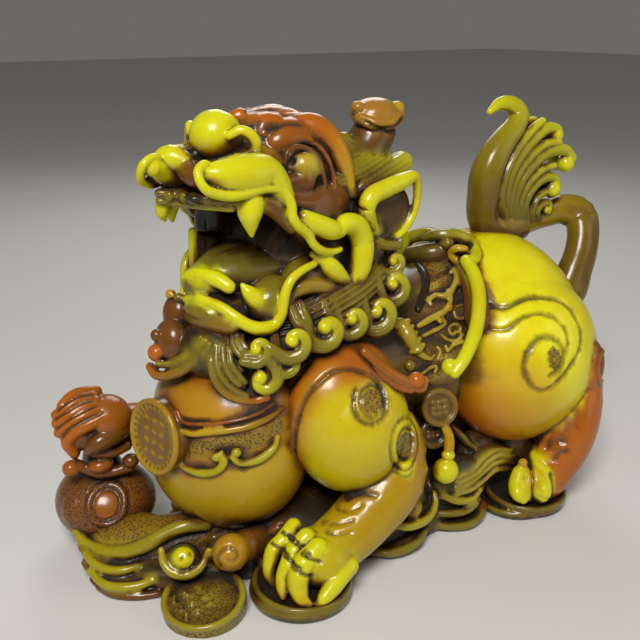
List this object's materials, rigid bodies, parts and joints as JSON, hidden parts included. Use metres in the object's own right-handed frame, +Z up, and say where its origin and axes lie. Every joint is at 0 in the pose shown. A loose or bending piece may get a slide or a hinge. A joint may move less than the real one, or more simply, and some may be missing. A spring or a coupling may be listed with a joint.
{
  "type": "pixiu figurine",
  "caption": "Crouching winged-lion guardian beast with open mouth and plumed tail, cast in one piece on a bed of coins and clouds, one forepaw on a money bag.",
  "frame": {"origin": "centre of the figure's box in plan, at the flat underside it stands on", "axes": "+X from the head to the tail, -Y to the beast's left side, +Z up"},
  "size_m": [0.194, 0.0996, 0.1335],
  "materials": {
    "resin": "waxy gloss yellow resin with orange and brown staining and dark patina in the hollows"
  },
  "bodies": {
    "root": {"pixiu": "resin"}
  },
  "joints": []
}
